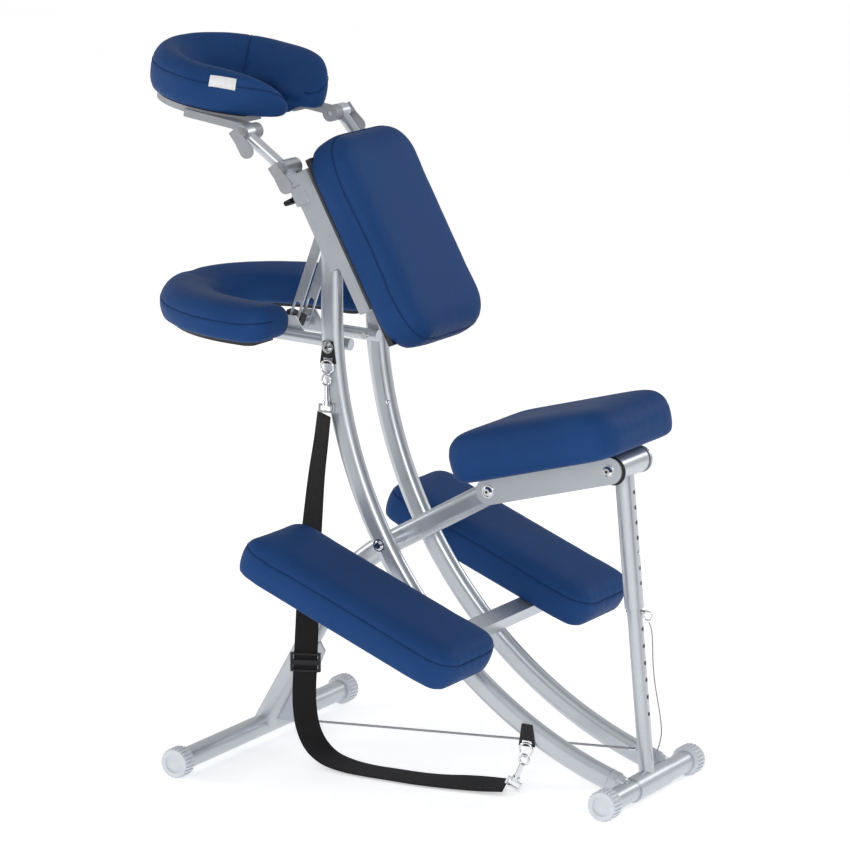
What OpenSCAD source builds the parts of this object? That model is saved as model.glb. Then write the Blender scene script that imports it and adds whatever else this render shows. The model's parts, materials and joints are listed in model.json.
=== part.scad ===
// Folding kneeling massage chair: curved twin frame, crossed centre tube, height-set seat,
// chest pad, arm rest and tilting face cradle.
// Left side is +X, the sitter faces -Y, +Z is up and the feet stand on Z = 0.

/* [Frame] */
// Distance from the middle plane to each main tube
tube_x = 69; // [60:1:80]
// Radius of the main tubes' bend
bend_r = 717; // [710:1:724]
// Y of the upright part of the main tubes
upright_y = -174; // [-190:1:-160]
// Height where the main tubes start to bend
bend_z = 720; // [715:1:725]
// Length of the rear foot bar between its caps' outer faces
rear_bar_len = 316; // [300:1:360]
// Length of the front foot bar between its caps' outer faces
front_bar_len = 540; // [500:1:600]
// Y of the rear foot bar
rear_foot_y = 345; // [340:1:350]
// Y of the front foot bar
front_foot_y = -347; // [-355:1:-340]

/* [Tubes] */
// Deep side of the main tubes' flat oval section
oval_deep = 36; // [32:1:38]
// Width of the main tubes' flat oval section
oval_wide = 24; // [20:1:26]
// Wall of every tube
wall = 2; // [1.5:0.1:2.5]
// Diameter of the foot bars
bar_d = 34; // [30:1:36]
// Outer diameter of the ribbed foot caps
cap_d = 48; // [44:1:52]

/* [Seat] */
// Slope of the seat in degrees, rear side high
seat_slope = 14.5; // [10:0.5:18]
// Distance between the seat channel's two pivots
seat_span = 213; // [205:1:220]
// Length of the seat pad
seat_len = 284; // [270:1:300]
// Width of the seat pad
seat_w = 256; // [240:1:280]
// Thickness of the seat pad
seat_t = 54; // [45:1:60]

/* [Knee pads] */
// Slope of the knee pads in degrees, front side high
knee_slope = 22.7; // [20:0.1:25]
// Length of a knee pad
knee_len = 388; // [360:1:400]
// Width of a knee pad
knee_w = 172; // [160:1:180]
// Thickness of a knee pad
knee_t = 50; // [40:1:54]
// Gap between the two knee pads
knee_gap = 280; // [260:1:300]

/* [Chest pad] */
// Height of the chest pad along its slope
chest_h = 345; // [320:1:360]
// Width of the chest pad
chest_w = 236; // [220:1:260]
// Thickness of the chest pad
chest_t = 56; // [45:1:62]
// Angle the chest pad leans back from upright
chest_lean = 28; // [25:1:30]

/* [Arm rest] */
// Half width of the arm rest pad
arm_half = 226; // [210:1:240]
// Depth of the arm rest pad, front to rear
arm_depth = 276; // [260:1:290]
// Thickness of the arm rest pad
arm_t = 50; // [40:1:54]

/* [Face cradle] */
// Half width of the face cushion
face_half = 145; // [135:1:155]
// Half length of the face cushion
face_long = 140; // [130:1:150]
// Thickness of the face cushion
face_t = 80; // [60:1:84]
// Pitch of the face cushion in degrees, front side high
face_pitch = 9; // [0:1:15]

/* [Hidden] */
$fn = 64;

silver = [0.72, 0.74, 0.77];
plastic_grey = [0.78, 0.80, 0.84];
vinyl = [0.10, 0.22, 0.44];
black = [0.06, 0.06, 0.07];
chrome = [0.85, 0.86, 0.88];

// The whole chair is moved along Y so that the origin is under the middle of its box.
mid_y = 77.3;
fit = 0.05;      // radial running clearance of every pin
gap = 0.4;       // face clearance between moving neighbours
foot_z = cap_d / 2;
bend_end = 72.6; // degrees turned by the main tubes' bend

// Key points as [y, z]
pivot = [-84, 366];
seat_front = [93, 465];
seat_rear = seat_front + seat_span * [cos(seat_slope), sin(seat_slope)];
rear_foot = [rear_foot_y, foot_z];
front_foot = [front_foot_y, foot_z];
arm_pivot = [upright_y, 672];
arm_slope = 3;
chest_mid = [-138, 867];
post_x = 100;
post_y = -38.4;
strut_v = seat_rear - rear_foot;
strut_len = norm(strut_v);
strut_lean = atan2(-strut_v[0], strut_v[1]);
bolt_r = 5;

module placed(p, a = 0) translate([0, mid_y + p[0], p[1]]) rotate([a, 0, 0]) children();
module xrod(r, len, x = 0) translate([x, 0, 0]) rotate([0, 90, 0]) cylinder(r = r, h = len, center = true);
module both() { children(); mirror([1, 0, 0]) children(); }

// Flat oval outline, deep along x and wide along y
module oval(deep, wide) {
  for (s = [-1, 1]) translate([s * (deep - wide) / 2, 0]) circle(d = wide);
  square([deep - wide, wide], center = true);
}
module oval_ring(deep, wide) difference() {
  oval(deep, wide);
  oval(deep - 2 * wall, wide - 2 * wall);
}
// A straight run of a section along local Z, its x side along Y
module oval_run(len) rotate([0, 0, 90]) linear_extrude(len) children();
// A bend in the YZ plane about the local origin, from angle a0 through sweep degrees
module oval_bend(r, a0, sweep) rotate([90, 0, 90]) rotate([0, 0, a0])
  rotate_extrude(angle = sweep, $fn = 360) translate([r, 0]) children();

// Rounded box standing on local Z = 0, with edges softened all round
module pad_block(x, y, z, r, edge) hull() {
  for (sx = [-1, 1]) for (sy = [-1, 1]) translate([sx * (x / 2 - r), sy * (y / 2 - r), 0]) {
    translate([0, 0, edge]) cylinder(r = r, h = z - 2 * edge, $fn = 32);
    cylinder(r = r - edge, h = z, $fn = 32);
  }
}

// Crescent outline: widest at y = 0, open towards +y
module crescent(half, front, rear, in_half, in_front, round_r) offset(r = round_r) offset(delta = -round_r)
  difference() {
    union() {
      intersection() {
        scale([half, front]) circle(r = 1, $fn = 72);
        translate([-half, -front]) square([2 * half, front]);
      }
      translate([-half, -1]) square([2 * half, rear + 1]);
    }
    scale([in_half, in_front]) circle(r = 1, $fn = 60);
    translate([-in_half, 0]) square([2 * in_half, rear + 1]);
  }

// ---- Main frame ----
tube_out = tube_x + oval_wide / 2;
tube_in = tube_x - oval_wide / 2;
tube_top_z = 915;
bend_centre = [upright_y + bend_r, bend_z];
bracket_y = -29;
module main_tube(side) color(silver) difference() {
  translate([side * tube_x, 0, 0]) {
    placed([upright_y, bend_z]) oval_run(tube_top_z - bend_z) oval_ring(oval_deep, oval_wide);
    placed(bend_centre) oval_bend(bend_r, 180, bend_end) oval_ring(oval_deep, oval_wide);
  }
  placed(rear_foot) xrod(bar_d / 2, 200);
  placed(chest_mid, chest_lean) translate([-150, bracket_y, -300]) cube([300, 100, 600]);
  placed(pivot) xrod(bolt_r, 220);
  placed(arm_pivot) xrod(bolt_r, 220);
}
module rear_foot_bar() color(silver) placed(rear_foot) difference() {
  xrod(bar_d / 2, rear_bar_len - 12);
  xrod(bar_d / 2 - wall, rear_bar_len);
}
// Ribbed end cap; one flat rib points straight down, so the cap stands on it
rib_n = 24;
rib_w = 3.2;
module foot_cap(bar_len) difference() {
  union() {
    translate([bar_len / 2 - 26, 0, 0]) rotate([0, 90, 0]) cylinder(d = cap_d - 4, h = 26);
    for (i = [0:rib_n - 1]) rotate([i * 360 / rib_n, 0, 0])
      translate([bar_len / 2 - 24, -rib_w / 2, -cap_d / 2]) cube([22, rib_w, 4]);
  }
  translate([bar_len / 2 - 56, 0, 0]) rotate([0, 90, 0]) cylinder(d = bar_d, h = 50);
  translate([bar_len / 2 - 2, 0, 0]) rotate([0, 90, 0]) cylinder(d = cap_d - 18, h = 10);
}
module rear_foot_caps() color(plastic_grey) placed(rear_foot) both() foot_cap(rear_bar_len);

// Knee pads lie on boards, and one bar runs across under both
knee_top = [-15, 330];
knee_x = (knee_gap + knee_w) / 2;
knee_board_t = 5;
support_h = 22;
support_w = 28;
knee_under = -knee_t - knee_board_t;
module knee_place(z) placed(knee_top, -knee_slope) translate([0, 0, z]) children();
module knee_supports() color(silver) difference() {
  knee_place(knee_under - support_h) translate([-(knee_x + 16), 82, 0])
    cube([2 * (knee_x + 16), support_w, support_h]);
  for (side = [-1, 1]) translate([side * tube_x, 0, 0])
    placed(bend_centre) oval_bend(bend_r, 180, bend_end) oval(oval_deep, oval_wide);
}
module knee_board(side) color(black) knee_place(knee_under)
  translate([side * knee_x, 0, knee_board_t / 2]) cube([knee_w - 56, knee_len - 76, knee_board_t], center = true);
module knee_pad(side) color(vinyl) knee_place(-knee_t) translate([side * knee_x, 0, 0])
  pad_block(knee_w, knee_len, knee_t, 30, 6);

// ---- Chest pad, its board and the brackets that join it to the main tubes ----
board_y = -9;
chest_drop = 42; // the pad sits this far down its brackets
module chest_place() placed(chest_mid, chest_lean) children();
module chest_brackets() color(silver) chest_place() {
  both() translate([post_x - 12, bracket_y, -136]) cube([24, board_y - bracket_y, 239]);
  for (z = [-118, -22]) translate([-post_x, bracket_y, z]) cube([2 * post_x, 6, z < -50 ? 36 : 96]);
}
module chest_board() color(black) chest_place()
  translate([-chest_w / 2 + 13, board_y, -chest_h / 2 + 15 - chest_drop]) cube([chest_w - 26, -board_y, chest_h - 30]);
module chest_pad() color(vinyl) chest_place() translate([0, 0, -chest_drop]) rotate([-90, 0, 0])
  pad_block(chest_w, chest_h, chest_t, 54, 8);

// ---- Post sleeves on the brackets, each with its clamp knob ----
post_w = 18;
post_gap = 0.3;
sleeve_lo = 56;
sleeve_hi = 84;
sleeve_r = 13;
module post_sleeves() color(silver) chest_place() both() difference() {
  translate([post_x - sleeve_r, post_y - sleeve_r, sleeve_lo])
    cube([2 * sleeve_r, bracket_y - post_y + sleeve_r, sleeve_hi - sleeve_lo]);
  translate([post_x - post_w / 2 - post_gap, post_y - post_w / 2 - post_gap, sleeve_lo - 1])
    cube([post_w + 2 * post_gap, post_w + 2 * post_gap, sleeve_hi - sleeve_lo + 2]);
}
module sleeve_knob(side) color(black) chest_place()
  translate([side * post_x, post_y - sleeve_r - gap, (sleeve_lo + sleeve_hi) / 2]) rotate([90, 0, 0]) {
    cylinder(r = 6, h = 8);
    hull() for (s = [-1, 1]) translate([s * 10, 0, 7]) cylinder(r = 4, h = 12, $fn = 32);
  }

// ---- Pivot bolts ----
module bolt_head(x) translate([x, 0, 0]) rotate([0, 90, 0]) {
  cylinder(r = 10, h = 1.5);
  translate([0, 0, 1.5]) cylinder(r1 = 8, r2 = 5, h = 4);
}
module frame_pivot_bolt() color(chrome) placed(pivot) {
  xrod(bolt_r - fit, 2 * tube_out);
  both() bolt_head(tube_out);
}
tab_t = 2.4;
arm_tube_x = 43;
arm_tube_d = 19;
arm_bolt_in = arm_tube_x - 14;
module arm_bolt(seat) {
  xrod(bolt_r - fit, seat - arm_bolt_in, (seat + arm_bolt_in) / 2);
  bolt_head(seat);
}
module arm_pivot_bolts() color(chrome) placed(arm_pivot) {
  arm_bolt(tube_out + tab_t);
  mirror([1, 0, 0]) arm_bolt(tube_out);
}

// ---- Arm rest ----
arm_y = -107;
arm_reach = 190;
module arm_place(z = 0) placed(arm_pivot, -arm_slope) translate([0, 0, z]) children();
module arm_tubes() color(silver) arm_place() difference() {
  both() translate([arm_tube_x, 0, 0]) {
    translate([0, 19, 0]) rotate([90, 0, 0]) cylinder(d = arm_tube_d, h = arm_reach + 19);
    xrod(8, tube_in - gap - arm_tube_x, (tube_in - gap - arm_tube_x) / 2);
  }
  xrod(bolt_r, 160);
}
module arm_outline(grow) offset(delta = grow) translate([0, arm_y])
  crescent(arm_half, arm_depth - 62, 62, arm_half - 128, arm_depth - 141, 40);
arm_board_t = 5;
module arm_board() color(black) arm_place(arm_tube_d / 2) linear_extrude(arm_board_t) arm_outline(-24);
module arm_pad() color(vinyl) arm_place(arm_tube_d / 2 + arm_board_t) {
  translate([0, 0, 5]) linear_extrude(arm_t - 10) arm_outline(0);
  linear_extrude(arm_t) arm_outline(-5);
}
// Two ears inside the arm tubes carry the lower ends of the brace bars
brace_foot = [-274, 694];
brace_top = [-200, 899];
ear_x = arm_tube_x - arm_tube_d / 2;
ear_t = 3;
brace_bolt_r = 4;
module arm_bracket() color(silver) {
  both() translate([ear_x - ear_t, 0, 0]) rotate([90, 0, 90]) linear_extrude(ear_t)
    polygon([for (p = [[-34, -20], [34, -22], [12, 12], [-12, 12]]) brace_foot + p + [mid_y, 0]]);
  placed(brace_foot) xrod(brace_bolt_r, 2 * (ear_x - ear_t) + 2);
}
brace_x = 21;
bar_t = 4;
brace_v = brace_top - brace_foot;
brace_lean = atan2(-brace_v[0], brace_v[1]);
module brace_bars() color(silver) {
  both() placed(brace_foot, brace_lean) difference() {
    translate([brace_x - bar_t / 2, -8, -14]) cube([bar_t, 16, norm(brace_v) + 20]);
    translate([0, 0, norm(brace_v)]) xrod(4, 100);
    // slot for the arm rest's bolt
    hull() for (z = [0, 29]) translate([0, 0, z]) xrod(5.4, 100);
  }
}
module arm_knob() color(black) placed(brace_foot) rotate([brace_lean, 0, 0]) difference() {
  translate([-9, -22, -9]) cube([18, 28, 18]);
  xrod(brace_bolt_r + fit, 30);
}
module brace_rod() color(silver) {
  placed(brace_top) xrod(4 - fit, 2 * brace_x + 20);
  chest_place() both() translate([brace_x + bar_t / 2 + gap, -48, 48]) cube([5, 48 + bracket_y, 18]);
}

// ---- Carrying strap: tabs, rings, hooks, slider and webbing, all on the left main tube ----
strap_low = [178, 104];
module tab(p, hole) placed(p) translate([tube_out, 0, 0]) rotate([90, 0, 90]) linear_extrude(tab_t)
  difference() {
    polygon([[-9, 9], [9, 9], [14, -26], [-14, -26]]);
    if (hole) circle(r = bolt_r);
    translate([-9, -22]) square([18, 5]);
  }
module strap_brackets() color(black) {
  tab(arm_pivot, true);
  tab(strap_low, false);
}
ring_r = 11;
wire_r = 1.8;
module ring(p, lean) placed(p, lean) translate([tube_out + 4, 0, 0]) rotate([0, 90, 0])
  rotate_extrude() translate([ring_r, 0]) circle(r = wire_r, $fn = 24);
module strap_rings() color(chrome) {
  ring(arm_pivot + [0, -31], 0);
  ring(strap_low + [0, -31], 0);
}
// Swivel snap hook hanging along local -Z from its gate to its swivel eye
hook_len = 62;
module snap_hook() {
  translate([0, 0, -10]) rotate([0, 90, 0]) rotate_extrude() translate([8, 0]) circle(r = 2, $fn = 24);
  translate([0, 0, -hook_len + 18]) cylinder(r = 4, h = hook_len - 36);
  translate([0, 0, -hook_len + 12]) cylinder(r = 6, h = 8);
  translate([0, 0, -hook_len + 2]) cube([3, 26, 3], center = true);
  for (s = [-1, 1]) translate([0, s * 12, -hook_len + 7]) cube([3, 2.5, 13], center = true);
  translate([0, 0, -hook_len + 12.5]) cube([3, 26, 3], center = true);
}
hook_x = tube_out + 4;
upper_hook = arm_pivot + [-2, -42];
lower_hook = strap_low + [1, -38];
lower_hook_lean = -24.6;
module strap_hook_upper() color(chrome) placed(upper_hook, 0) translate([hook_x, 0, 0]) snap_hook();
module strap_hook_lower() color(chrome) placed(lower_hook, lower_hook_lean)
  translate([hook_x, 0, 0]) snap_hook();

strap_w = 38;
strap_t = 2;
// Middle of the webbing at each point, then the direction of its width
strap_route = [
  [[85, -180, 566], [0.45, 0.89, 0]], [[85, -186, 520], [0.40, 0.92, 0]], [[86, -193, 470], [0.30, 0.95, 0]],
  [[87, -199, 410], [0.15, 0.99, 0]], [[88, -204, 350], [0, 1, 0]], [[88, -208, 290], [-0.12, 0.99, 0]],
  [[88, -211, 230], [-0.24, 0.97, 0]], [[88, -214, 170], [-0.34, 0.94, 0]], [[89, -216, 125], [-0.40, 0.92, 0]],
  [[90, -215, 92], [-0.45, 0.88, 0.10]], [[92, -208, 60], [-0.55, 0.76, 0.30]], [[95, -192, 34], [-0.72, 0.52, 0.42]],
  [[99, -165, 17], [-0.88, 0.24, 0.38]], [[103, -130, 10], [-0.95, 0.06, 0.30]], [[106, -90, 8], [-0.97, 0, 0.24]],
  [[107, -45, 8], [-0.97, 0, 0.24]], [[107, 0, 8], [-0.96, 0, 0.26]], [[105, 40, 9], [-0.95, 0, 0.30]],
  [[101, 80, 11], [-0.92, 0, 0.38]], [[96, 112, 12], [-0.92, 0, 0.38]], [[90, 145, 13], [-0.95, 0, 0.30]]];
function unit(v) = v / norm(v);
module ribbon(route, w, t) {
  n = len(route);
  function at(i) = route[min(max(i, 0), n - 1)][0] + [0, mid_y, 0];
  function ring_at(i) = let (along = unit(at(i + 1) - at(i - 1)), across = unit(route[i][1] - (route[i][1] * along) * along),
    up = cross(along, across)) [for (s = [[-1, -1], [1, -1], [1, 1], [-1, 1]]) at(i) + across * s[0] * w / 2 + up * s[1] * t / 2];
  polyhedron(
    points = [for (i = [0:n - 1]) each ring_at(i)],
    faces = concat([[3, 2, 1, 0], [for (k = [0:3]) 4 * (n - 1) + k]],
      [for (i = [0:n - 2]) for (k = [0:3]) each [
        [4 * i + k, 4 * i + (k + 1) % 4, 4 * i + 4 + (k + 1) % 4], [4 * i + k, 4 * i + 4 + (k + 1) % 4, 4 * i + 4 + k]]]));
}
module carry_strap() color(black) ribbon(strap_route, strap_w, strap_t);
slider_at = strap_route[7][0] - [0, 0, 6];
module strap_slider() color(black) translate(slider_at + [0, mid_y, 0]) rotate([0, 0, 110]) difference() {
  cube([48, 8, 30], center = true);
  for (s = [-1, 1]) translate([0, 0, s * 8]) cube([41, 20, 8], center = true);
}

// ---- Centre tube: front leg, long bend, frame pivot, upper run to the seat ----
leg_slope = 60;
centre_deep = 37;
centre_wide = 26;
// The upper run is straight through the frame pivot to the seat; one bend joins it to the leg.
bend_short = 34; // the bend ends this far before the pivot
seat_front_v = seat_front - pivot;
pivot_slope = atan2(seat_front_v[1], seat_front_v[0]);
leg_v = [cos(leg_slope), sin(leg_slope)];
upper_v = [cos(pivot_slope), sin(pivot_slope)];
bend_top = pivot - bend_short * upper_v;
bend_v = [sin(pivot_slope) - sin(leg_slope), cos(leg_slope) - cos(pivot_slope)];
function cross2(p, q) = p[0] * q[1] - p[1] * q[0];
leg_r = -cross2(bend_top - front_foot, leg_v) / cross2(bend_v, leg_v);
leg_centre = bend_top + leg_r * [sin(pivot_slope), -cos(pivot_slope)];
leg_top = bend_top + leg_r * bend_v;
pivot_tube_r = 12;
// The straight runs start a little inside the bend and are a hair slimmer
run_in = 3;
module centre_section(less = 0) oval_ring(centre_deep - less, centre_wide - less);
module centre_tube() color(silver) difference() {
  union() {
    placed(leg_top, leg_slope + 90) translate([0, 0, -run_in])
      oval_run(norm(leg_top - front_foot) - 8 + run_in) centre_section(0.2);
    placed(leg_centre) oval_bend(leg_r, 90 + pivot_slope, leg_slope - pivot_slope) centre_section();
    placed(bend_top, pivot_slope - 90) translate([0, 0, -run_in])
      oval_run(norm(seat_front_v) + bend_short + run_in) centre_section(0.2);
    placed(pivot) xrod(10, 2 * (tube_in - gap));
    placed(seat_front) xrod(centre_deep / 2, centre_wide);
  }
  placed(front_foot) xrod(bar_d / 2, 200);
  placed(pivot) xrod(bolt_r, 220);
  placed(seat_front) xrod(pivot_tube_r + fit, 220);
}
module front_foot_bar() color(silver) placed(front_foot) difference() {
  xrod(bar_d / 2, front_bar_len - 12);
  xrod(bar_d / 2 - wall, front_bar_len);
}
module front_foot_caps() color(plastic_grey) placed(front_foot) both() foot_cap(front_bar_len);
cable_r = 2;
cable_front = [-284, 40];
cable_rear = [326.5, 74];
module front_gusset() color(silver) difference() {
  placed(front_foot, leg_slope - 90) translate([-2, 0, 0]) rotate([90, 0, 90]) linear_extrude(4)
    polygon([[10, 20], [49, 42], [34, 176], [10, 190]]);
  placed(leg_top, leg_slope + 90) oval_run(norm(leg_top - front_foot)) oval(centre_deep, centre_wide);
  placed(front_foot) xrod(bar_d / 2, 100);
}
module tension_cable() color(chrome) {
  run = cable_rear - cable_front;
  placed(cable_front, -atan2(run[0], run[1])) cylinder(r = cable_r, h = norm(run));
}

// ---- Seat ----
plate_x = 50.5;
plate_t = 3;
web_z = 27;
seat_back = seat_span + 14;
module seat_place(z = 0) placed(seat_front, seat_slope) translate([0, 0, z]) children();
module seat_pivot_tube() color(silver) placed(seat_front) difference() {
  xrod(pivot_tube_r, 2 * (plate_x - gap));
  xrod(bolt_r, 220);
}
module seat_channel() color(silver) seat_place() {
  both() difference() {
    union() {
      translate([plate_x, 0, -21]) cube([plate_t, seat_back - 10, web_z + 21]);
      xrod(21, plate_t, plate_x + plate_t / 2);
      translate([0, seat_back - 12, 0]) xrod(21, plate_t, plate_x + plate_t / 2);
    }
    xrod(bolt_r, 220);
    translate([0, seat_span, 0]) xrod(bolt_r, 220);
  }
  translate([-plate_x - plate_t, -8, web_z]) cube([2 * (plate_x + plate_t), seat_span + 20, plate_t]);
}
seat_board_t = 9;
seat_mid = 116;
seat_under = web_z + plate_t;
module seat_board() color(silver) seat_place(seat_under)
  translate([0, seat_mid, seat_board_t / 2]) cube([seat_w - 70, seat_len - 50, seat_board_t], center = true);
module seat_pad() color(vinyl) difference() {
  seat_place(seat_under) translate([0, seat_mid, 0]) pad_block(seat_w, seat_len, seat_t, 42, 8);
  seat_place(seat_under - 1) translate([0, seat_mid, (seat_board_t + 1) / 2])
    cube([seat_w - 70, seat_len - 50, seat_board_t + 1], center = true);
}
module seat_bolts() color(chrome) {
  seat_place() xrod(bolt_r - fit, 2 * (plate_x + plate_t));
  seat_place() both() bolt_head(plate_x + plate_t);
  seat_place() translate([0, seat_span, 0]) both() {
    xrod(bolt_r - fit, plate_t, plate_x + plate_t / 2);
    bolt_head(plate_x + plate_t);
  }
}

// ---- Telescoping rear strut ----
inner_d = 24;
outer_d = 30;
slide_gap = 0.3;
head_d = 40;
sleeve_d = 39;
outer_low = 274;
inner_top = 392;
hole_r = 3.6;
hole_step = 23.6;
low_hole_step = 26.7;
pin_z = 268;
button_z = 360.2;
module strut_place(z = 0) placed(rear_foot, strut_lean) translate([0, 0, z]) children();
module rear_hole(z) translate([0, 0, z]) rotate([-90, 0, 0]) cylinder(r = hole_r, h = 40, $fn = 32);
module strut_inner_tube() color(silver) strut_place() difference() {
  cylinder(d = inner_d, h = inner_top);
  translate([0, 0, -1]) cylinder(d = inner_d - 2 * wall, h = inner_top + 2);
  xrod(sleeve_d / 2, 100);
  for (i = [1:6]) rear_hole(pin_z - i * low_hole_step);
  translate([0, 30, pin_z]) rotate([90, 0, 0]) cylinder(r = hole_r, h = 60, $fn = 32);
  translate([-3.7, 0, button_z - 3.7]) cube([7.4, 20, inner_top]);
}
module strut_foot_sleeve() color(silver) placed(rear_foot) difference() {
  xrod(sleeve_d / 2, 2 * (tube_in - 1));
  xrod(bar_d / 2 + fit, 200);
}
module strut_outer_tube() color(silver) strut_place() difference() {
  translate([0, 0, outer_low]) cylinder(d = outer_d, h = strut_len - outer_low);
  translate([0, 0, outer_low - 1]) cylinder(d = inner_d + 2 * slide_gap, h = strut_len - outer_low + 2);
  translate([0, 0, strut_len]) xrod(head_d / 2, 100);
  for (i = [-2:4]) rear_hole(button_z + i * hole_step);
}
bush_t = 2;
module strut_head_tube() color(silver) placed(seat_rear) difference() {
  xrod(head_d / 2, 2 * (plate_x - gap - bush_t));
  xrod(head_d / 2 - 3, 200);
}
module strut_bushes() color(black) placed(seat_rear) both() difference() {
  xrod(head_d / 2, bush_t, plate_x - gap - bush_t / 2);
  xrod(8, 200);
}
module height_pin() color(chrome) strut_place(pin_z) {
  translate([0, 20, 0]) rotate([90, 0, 0]) cylinder(r = 3, h = 34, $fn = 32);
  translate([0, 22, -6]) rotate([0, 90, 0]) rotate_extrude() translate([7, 0]) circle(r = 1.4, $fn = 24);
}
module spring_button() color(chrome) strut_place(button_z) rotate([-90, 0, 0]) {
  translate([0, 0, 12.6]) cylinder(r = hole_r - 0.1, h = 4, $fn = 32);
}
lanyard_r = 1;
lanyard_route = [
  [0, 23, 252], [0, 26, 243], [0, 27, 230], [0, 26, 210], [0, 25, 190], [0, 25, 170], [0, 26, 150], [0, 28, 130],
  [0, 30, 110], [0, 31, 92], [0, 30, 76], [0, 26, 62], [0, 21, 50], [0, 17, 42], [0, 14, 34]];
module wire(route, r, sides) {
  n = len(route);
  function ring_at(i) = let (along = unit(route[min(i + 1, n - 1)] - route[max(i - 1, 0)]), across = [1, 0, 0],
    up = cross(along, across)) [for (k = [0:sides - 1]) let (a = k * 360 / sides)
      route[i] + across * r * cos(a) + up * r * sin(a)];
  polyhedron(
    points = [for (i = [0:n - 1]) each ring_at(i)],
    faces = concat([[for (k = [sides - 1:-1:0]) k], [for (k = [0:sides - 1]) sides * (n - 1) + k]],
      [for (i = [0:n - 2]) for (k = [0:sides - 1]) each [
        [sides * i + k, sides * i + (k + 1) % sides, sides * (i + 1) + (k + 1) % sides],
        [sides * i + k, sides * (i + 1) + (k + 1) % sides, sides * (i + 1) + k]]]));
}
module pin_lanyard() color(chrome) strut_place() wire(lanyard_route, lanyard_r, 8);

// ---- Face cradle: posts, links, plate and cushion ----
link_foot = [-225, 954];
link_head = [-283, 1007];
knuckle_r = 13;
knuckle_w = 22;
pin_r = 4;
foot_x = post_x + 4;           // middle of the post knuckle
link_foot_x = foot_x + knuckle_w + gap;
plate_knuckle_x = 123;
link_head_x = plate_knuckle_x + knuckle_w + gap;
module cradle_posts() color(silver) {
  chest_place() both() translate([post_x - post_w / 2, post_y - post_w / 2, -56]) cube([post_w, post_w, 162]);
  chest_place() both() translate([post_x - 11, bracket_y - gap - 22, sleeve_hi + 2]) cube([22, 22, 24]);
  placed(link_foot) both() difference() {
    xrod(knuckle_r, knuckle_w, foot_x);
    xrod(pin_r + fit, 400);
  }
}
link_v = link_head - link_foot;
module link_arm() {
  // straight bar from the foot knuckle out to the head knuckle
  from = [link_foot_x, link_foot[0] + mid_y, link_foot[1]];
  to = [link_head_x, link_head[0] + mid_y, link_head[1]];
  run = to - from;
  translate(from) rotate([0, acos(run[2] / norm(run)), atan2(run[1], run[0])])
    translate([0, 0, 4]) cylinder(d = 19, h = norm(run) - 8);
}
lever_len = 54;
module cradle_links() color(silver) both() {
  difference() {
    union() {
      link_arm();
      placed(link_foot) xrod(knuckle_r, knuckle_w, link_foot_x);
      placed(link_head) xrod(knuckle_r, knuckle_w, link_head_x);
    }
    placed(link_foot) xrod(knuckle_r + 1, knuckle_w, foot_x);
    placed(link_head) xrod(knuckle_r + 1, knuckle_w, plate_knuckle_x);
  }
  placed(link_foot) xrod(pin_r, knuckle_w, foot_x + 1);
  placed(link_head) xrod(pin_r, knuckle_w, plate_knuckle_x + 1);
}
cushion_y = -107;
cushion_z = 14;
module cradle_place(z = 0) placed(link_head, -face_pitch) translate([0, 0, z]) children();
module face_outline(grow) offset(delta = grow) translate([0, cushion_y]) offset(r = 24) offset(delta = -24)
  difference() {
    scale([face_half, face_long]) circle(r = 1, $fn = 72);
    translate([0, 8]) scale([54, 66]) circle(r = 1, $fn = 48);
    translate([-34, 20]) square([68, 200]);
  }
module cradle_plate() color(plastic_grey) cradle_place() difference() {
  union() {
    translate([0, 0, 4]) linear_extrude(cushion_z - gap - 4) intersection() {
      face_outline(-16);
      translate([-200, -400]) square([400, 370]);
    }
    both() translate([plate_knuckle_x - 11, -120, -2]) cube([22, 118, 12]);
    both() xrod(knuckle_r, knuckle_w, plate_knuckle_x);
  }
  xrod(pin_r + fit, 400);
}
module face_cushion() color(vinyl) cradle_place(cushion_z) {
  translate([0, 0, 8]) linear_extrude(face_t - 38) face_outline(0);
  linear_extrude(face_t - 18) face_outline(-9);
  linear_extrude(face_t - 8) face_outline(-19);
  linear_extrude(face_t) face_outline(-29);
}
// Cam lever: a cam barrel beside the knuckle and a rounded paddle lying along the link
module cam_lever() {
  rotate([90, 0, 0]) cylinder(r = 8.6, h = 16, center = true);
  translate([5, 0, 0]) rotate([90, 0, 90]) linear_extrude(3) {
    translate([-9, -9]) square([18, 22]);
    hull() {
      translate([0, 16]) circle(r = 10, $fn = 32);
      translate([0, lever_len - 24]) circle(r = 12, $fn = 32);
    }
  }
}
lever_slope = 218;
module lever_at(p, x, side) placed(p, lever_slope) translate([side * x, 0, 0])
  mirror([side < 0 ? 1 : 0, 0, 0]) cam_lever();
module link_lever(side) color(plastic_grey) lever_at(link_foot, link_foot_x + knuckle_w / 2 + 9, side);
module tilt_lever(side) color(plastic_grey) lever_at(link_head, link_head_x + knuckle_w / 2 + 9, side);

main_tube(1);  // main_tube_left
main_tube(-1);  // main_tube_right
rear_foot_bar();
rear_foot_caps();
knee_supports();
knee_board(1);  // knee_board_left
knee_board(-1);  // knee_board_right
knee_pad(1);  // knee_pad_left
knee_pad(-1);  // knee_pad_right
chest_brackets();
chest_board();
chest_pad();
post_sleeves();
frame_pivot_bolt();
arm_pivot_bolts();
brace_rod();
strap_brackets();
strap_rings();
centre_tube();
front_foot_bar();
front_foot_caps();
front_gusset();
seat_pivot_tube();
seat_channel();
seat_board();
seat_pad();
seat_bolts();
strut_inner_tube();
strut_foot_sleeve();
strut_outer_tube();
strut_head_tube();
strut_bushes();
height_pin();
spring_button();
arm_tubes();
arm_board();
arm_pad();
arm_bracket();
arm_knob();
brace_bars();
cradle_posts();
cradle_links();
cradle_plate();
face_cushion();
link_lever(1);  // link_lever_left
link_lever(-1);  // link_lever_right
tilt_lever(1);  // tilt_lever_left
tilt_lever(-1);  // tilt_lever_right
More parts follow.
